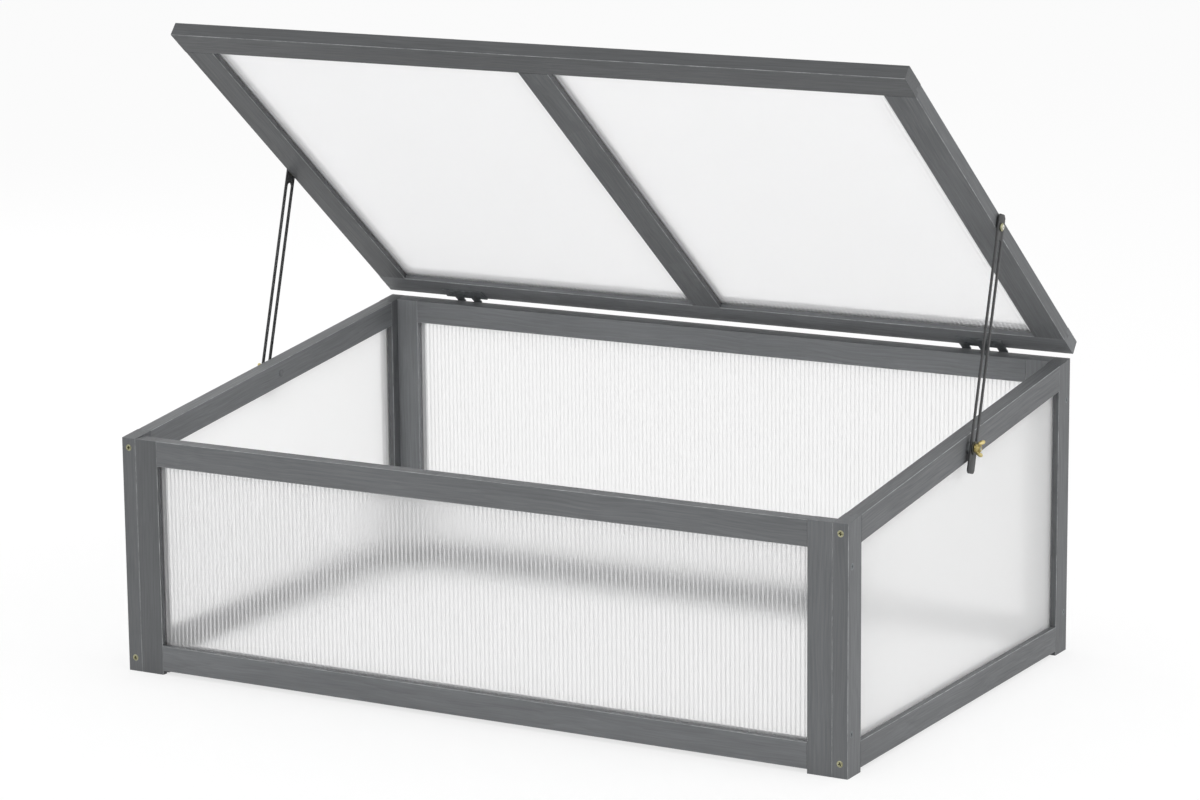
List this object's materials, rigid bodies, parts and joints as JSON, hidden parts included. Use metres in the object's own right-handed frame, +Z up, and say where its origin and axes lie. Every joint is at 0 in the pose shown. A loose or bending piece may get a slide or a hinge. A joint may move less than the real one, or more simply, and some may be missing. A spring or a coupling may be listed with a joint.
{
  "type": "wooden mini greenhouse",
  "caption": "Low wooden cold frame with a sloping rim, fluted clear sheets in grooved battens and a hinged lid held open by slotted stays with wing nuts.",
  "frame": {"origin": "on the ground, in the middle of the open greenhouse's outline", "axes": "+X to the right seen from the front, along the width; +Y from the low front to the hinged back; +Z up"},
  "size_m": [1.0386, 0.6422, 0.7976],
  "materials": {
    "stained_wood": "dark grey stained softwood, planed, worn lighter along the arrises",
    "twin_wall": "translucent white fluted twin-wall polycarbonate",
    "brass_screw": "yellow-passivated countersunk wood screws",
    "grey_screw": "dull grey countersunk screws",
    "hinge_steel": "zinc-plated pressed steel",
    "stay_steel": "dark grey coated flat steel",
    "bolt_steel": "zinc-plated steel",
    "wing_brass": "bright brass"
  },
  "bodies": {
    "frame": {"front_left_stile": "stained_wood", "front_right_stile": "stained_wood", "front_bottom_rail": "stained_wood", "front_top_rail": "stained_wood", "front_panel": "twin_wall", "front_frame_screws": "brass_screw", "rear_left_stile": "stained_wood", "rear_right_stile": "stained_wood", "rear_bottom_rail": "stained_wood", "rear_top_rail": "stained_wood", "rear_panel": "twin_wall", "rear_frame_screws": "brass_screw", "left_front_stile": "stained_wood", "left_rear_stile": "stained_wood", "left_bottom_rail": "stained_wood", "left_top_rail": "stained_wood", "left_panel": "twin_wall", "left_frame_screws": "brass_screw", "left_corner_screws": "grey_screw", "left_hinge_frame_leaf": "hinge_steel", "left_hinge_frame_screws": "grey_screw", "left_hinge_pin": "hinge_steel", "left_stay_bolt": "bolt_steel", "left_stay_spacer": "bolt_steel", "left_stay_washer": "bolt_steel", "right_front_stile": "stained_wood", "right_rear_stile": "stained_wood", "right_bottom_rail": "stained_wood", "right_top_rail": "stained_wood", "right_panel": "twin_wall", "right_frame_screws": "brass_screw", "right_corner_screws": "grey_screw", "right_hinge_frame_leaf": "hinge_steel", "right_hinge_frame_screws": "grey_screw", "right_hinge_pin": "hinge_steel", "right_stay_bolt": "bolt_steel", "right_stay_spacer": "bolt_steel", "right_stay_washer": "bolt_steel"},
    "lid": {"lid_rear_rail": "stained_wood", "lid_front_rail": "stained_wood", "lid_left_stile": "stained_wood", "lid_right_stile": "stained_wood", "lid_mullion": "stained_wood", "lid_left_panel": "twin_wall", "left_hinge_lid_leaf": "hinge_steel", "left_hinge_lid_screws": "grey_screw", "left_stay_pivot_screw": "brass_screw", "left_stay_pivot_washer": "bolt_steel", "lid_right_panel": "twin_wall", "right_hinge_lid_leaf": "hinge_steel", "right_hinge_lid_screws": "grey_screw", "right_stay_pivot_screw": "brass_screw", "right_stay_pivot_washer": "bolt_steel"},
    "left_stay": {"left_stay": "stay_steel"},
    "right_stay": {"right_stay": "stay_steel"},
    "left_wing_nut": {"left_wing_nut": "wing_brass"},
    "right_wing_nut": {"right_wing_nut": "wing_brass"}
  },
  "joints": [
    {"name": "lid_hinge", "type": "hinge", "parent": "frame", "child": "lid", "pos_m": [0, 0.31208, 0.3724], "axis": [1, 0, 0], "range_deg": [0, 46.18]},
    {"name": "left_stay_pivot", "type": "hinge", "parent": "lid", "child": "left_stay", "pos_m": [-0.5055, 0.07671, 0.57672], "axis": [1, 0, 0], "range_deg": [-23.1, 0]},
    {"name": "right_stay_pivot", "type": "hinge", "parent": "lid", "child": "right_stay", "pos_m": [0.5055, 0.07671, 0.57672], "axis": [1, 0, 0], "range_deg": [-23.1, 0]},
    {"name": "left_wing_nut_turn", "type": "hinge", "parent": "frame", "child": "left_wing_nut", "pos_m": [-0.5113, 0.00447, 0.32219], "axis": [-1, 0, 0], "continuous": true},
    {"name": "right_wing_nut_turn", "type": "hinge", "parent": "frame", "child": "right_wing_nut", "pos_m": [0.5113, 0.00447, 0.32219], "axis": [1, 0, 0], "continuous": true}
  ],
  "couplings": [
    {"joint": "left_stay_pivot", "follows": "lid_hinge", "ratio": -0.5},
    {"joint": "right_stay_pivot", "follows": "lid_hinge", "ratio": -0.5}
  ]
}
